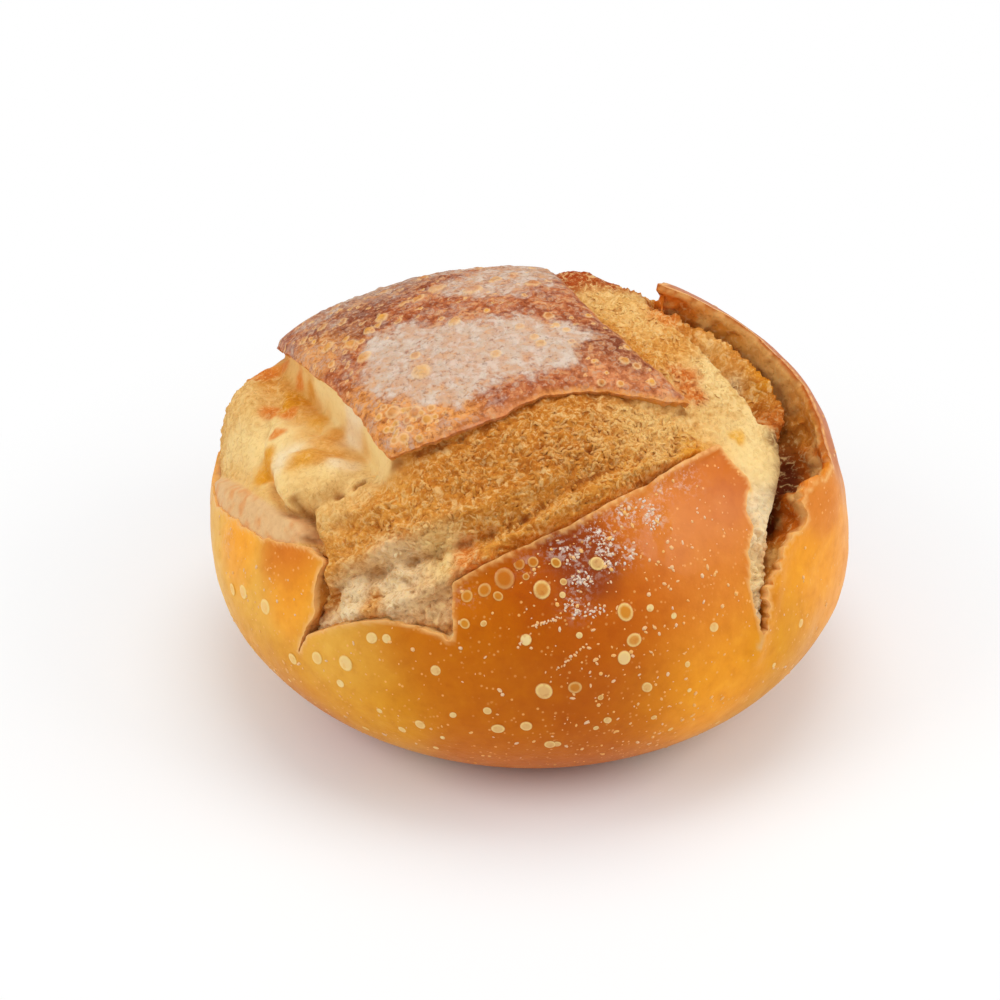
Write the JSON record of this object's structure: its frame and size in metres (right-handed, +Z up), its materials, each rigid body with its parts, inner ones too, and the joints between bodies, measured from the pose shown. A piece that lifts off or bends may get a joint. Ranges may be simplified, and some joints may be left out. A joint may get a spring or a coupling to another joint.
{
  "type": "sourdough loaf",
  "caption": "Round sourdough loaf, domed, scored in a square so that a raised cap of crust stands over torn, swollen openings.",
  "frame": {"origin": "middle of the flat base, on the surface the loaf rests on", "axes": "+Z up through the cap, -Y towards the front, where the broad front opening and the plain front panel are, +X towards the side with the raised ear"},
  "size_m": [0.2099, 0.2079, 0.1265],
  "materials": {
    "crust": null
  },
  "bodies": {
    "root": {"loaf": "crust"}
  },
  "joints": []
}
